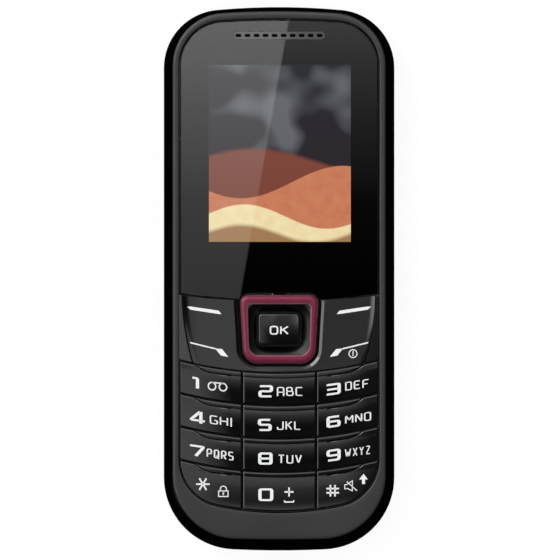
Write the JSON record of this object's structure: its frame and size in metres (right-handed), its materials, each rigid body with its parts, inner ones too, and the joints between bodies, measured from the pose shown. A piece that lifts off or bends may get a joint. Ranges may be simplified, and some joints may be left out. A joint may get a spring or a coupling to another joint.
{
  "type": "keypad bar phone",
  "caption": "Bar-shaped mobile phone with a display window, a four-way navigation ring, bowed rows of crowned number keys and a back cover that lifts off.",
  "frame": {"origin": "middle of the phone's outline, on the flat of its back, which it lies on", "axes": "+X to the right and +Y towards the earpiece, as seen from the front; +Z out of the screen"},
  "size_m": [0.0456, 0.1074, 0.0138],
  "materials": {
    "satin_grey": "satin dark grey moulding, fine eggshell",
    "gloss_black": "gloss black moulding",
    "cover_black": "satin black moulding",
    "window_clear": "clear hard-coated acrylic",
    "mask_black": "black adhesive film",
    "grille_grey": "dark grey satin",
    "display_face": "lit colour panel",
    "white_plastic": "white moulding",
    "flex_amber": "amber polyimide",
    "ring_burgundy": "burgundy metallic paint, satin",
    "dish_black": "black moulding",
    "key_black": "black key top, half gloss, white printed characters",
    "silicone": "translucent grey silicone",
    "bright_metal": "bare pressed metal",
    "board_green": "green solder mask",
    "battery_wrap": "printed wrap round an aluminium cell",
    "screw_steel": "zinc plated"
  },
  "bodies": {
    "base": {"front_housing": "satin_grey", "rear_housing": "gloss_black", "display_window": "window_clear", "window_mask": "mask_black", "earpiece_grille": "grille_grey", "earpiece_receiver": "bright_metal", "display_panel": "display_face", "display_frame": "white_plastic", "display_flex": "flex_amber", "keypad_mat": "silicone", "switch_domes": "bright_metal", "keypad_lights": "white_plastic", "main_board": "board_green", "shield_can": "bright_metal", "sim_card_holder": "bright_metal", "sim_card": "white_plastic", "battery_contacts": "dish_black", "loudspeaker": "dish_black", "microphone": "bright_metal", "vibration_motor": "bright_metal", "headset_socket": "dish_black", "charge_port": "bright_metal", "antenna": "white_plastic", "housing_screws": "screw_steel"},
    "key_1": {"key_1": "key_black"},
    "key_2": {"key_2": "key_black"},
    "key_3": {"key_3": "key_black"},
    "key_4": {"key_4": "key_black"},
    "key_5": {"key_5": "key_black"},
    "key_6": {"key_6": "key_black"},
    "key_7": {"key_7": "key_black"},
    "key_8": {"key_8": "key_black"},
    "key_9": {"key_9": "key_black"},
    "key_star": {"key_star": "key_black"},
    "key_0": {"key_0": "key_black"},
    "key_hash": {"key_hash": "key_black"},
    "ok_key": {"ok_key": "key_black"},
    "nav_web": {"nav_ring_web": "silicone"},
    "nav_ring": {"nav_ring": "ring_burgundy", "nav_dish": "dish_black"},
    "plate_web": {"function_key_web": "silicone"},
    "function_keys": {"function_key_plate": "key_black"},
    "cover": {"battery_cover": "cover_black"},
    "battery": {"battery": "battery_wrap"},
    "motor_weight": {"motor_weight": "bright_metal"}
  },
  "joints": [
    {"name": "key_1_press", "type": "slide", "parent": "base", "child": "key_1", "axis": [0, 0, -1], "range_m": [0, 0.0003], "stiffness_N_per_m": 400, "springref_m": -0.0005},
    {"name": "key_2_press", "type": "slide", "parent": "base", "child": "key_2", "axis": [0, 0, -1], "range_m": [0, 0.0003], "stiffness_N_per_m": 400, "springref_m": -0.0005},
    {"name": "key_3_press", "type": "slide", "parent": "base", "child": "key_3", "axis": [0, 0, -1], "range_m": [0, 0.0003], "stiffness_N_per_m": 400, "springref_m": -0.0005},
    {"name": "key_4_press", "type": "slide", "parent": "base", "child": "key_4", "axis": [0, 0, -1], "range_m": [0, 0.0003], "stiffness_N_per_m": 400, "springref_m": -0.0005},
    {"name": "key_5_press", "type": "slide", "parent": "base", "child": "key_5", "axis": [0, 0, -1], "range_m": [0, 0.0003], "stiffness_N_per_m": 400, "springref_m": -0.0005},
    {"name": "key_6_press", "type": "slide", "parent": "base", "child": "key_6", "axis": [0, 0, -1], "range_m": [0, 0.0003], "stiffness_N_per_m": 400, "springref_m": -0.0005},
    {"name": "key_7_press", "type": "slide", "parent": "base", "child": "key_7", "axis": [0, 0, -1], "range_m": [0, 0.0003], "stiffness_N_per_m": 400, "springref_m": -0.0005},
    {"name": "key_8_press", "type": "slide", "parent": "base", "child": "key_8", "axis": [0, 0, -1], "range_m": [0, 0.0003], "stiffness_N_per_m": 400, "springref_m": -0.0005},
    {"name": "key_9_press", "type": "slide", "parent": "base", "child": "key_9", "axis": [0, 0, -1], "range_m": [0, 0.0003], "stiffness_N_per_m": 400, "springref_m": -0.0005},
    {"name": "key_star_press", "type": "slide", "parent": "base", "child": "key_star", "axis": [0, 0, -1], "range_m": [0, 0.0003], "stiffness_N_per_m": 400, "springref_m": -0.0005},
    {"name": "key_0_press", "type": "slide", "parent": "base", "child": "key_0", "axis": [0, 0, -1], "range_m": [0, 0.0003], "stiffness_N_per_m": 400, "springref_m": -0.0005},
    {"name": "key_hash_press", "type": "slide", "parent": "base", "child": "key_hash", "axis": [0, 0, -1], "range_m": [0, 0.0003], "stiffness_N_per_m": 400, "springref_m": -0.0005},
    {"name": "ok_key_press", "type": "slide", "parent": "base", "child": "ok_key", "axis": [0, 0, -1], "range_m": [0, 0.0003], "stiffness_N_per_m": 400, "springref_m": -0.0005},
    {"name": "nav_ring_up_down", "type": "hinge", "parent": "base", "child": "nav_web", "pos_m": [0, -0.00994, 0.0104], "axis": [1, 0, 0], "range_deg": [-2, 2], "stiffness_Nm_per_rad": 0.15},
    {"name": "nav_ring_left_right", "type": "hinge", "parent": "nav_web", "child": "nav_ring", "pos_m": [0, -0.00994, 0.0104], "axis": [0, 1, 0], "range_deg": [-2, 2], "stiffness_Nm_per_rad": 0.15},
    {"name": "function_keys_up_down", "type": "hinge", "parent": "base", "child": "plate_web", "pos_m": [0, -0.0113, 0.0104], "axis": [1, 0, 0], "range_deg": [-1.5, 1.5], "stiffness_Nm_per_rad": 0.4},
    {"name": "function_keys_left_right", "type": "hinge", "parent": "plate_web", "child": "function_keys", "pos_m": [0, -0.0113, 0.0104], "axis": [0, 1, 0], "range_deg": [-0.9, 0.9], "stiffness_Nm_per_rad": 0.4},
    {"name": "cover_lift_off", "type": "slide", "parent": "base", "child": "cover", "axis": [0, 0, -1], "range_m": [0, 0.024]},
    {"name": "battery_lift_out", "type": "slide", "parent": "base", "child": "battery", "axis": [0, 0, -1], "range_m": [0, 0.012]},
    {"name": "vibration_spin", "type": "hinge", "parent": "base", "child": "motor_weight", "pos_m": [-0.0065, -0.036, 0.0051], "axis": [1, 0, 0], "continuous": true}
  ],
  "couplings": [
    {"joint": "battery_lift_out", "follows": "cover_lift_off", "ratio": 0.5}
  ]
}
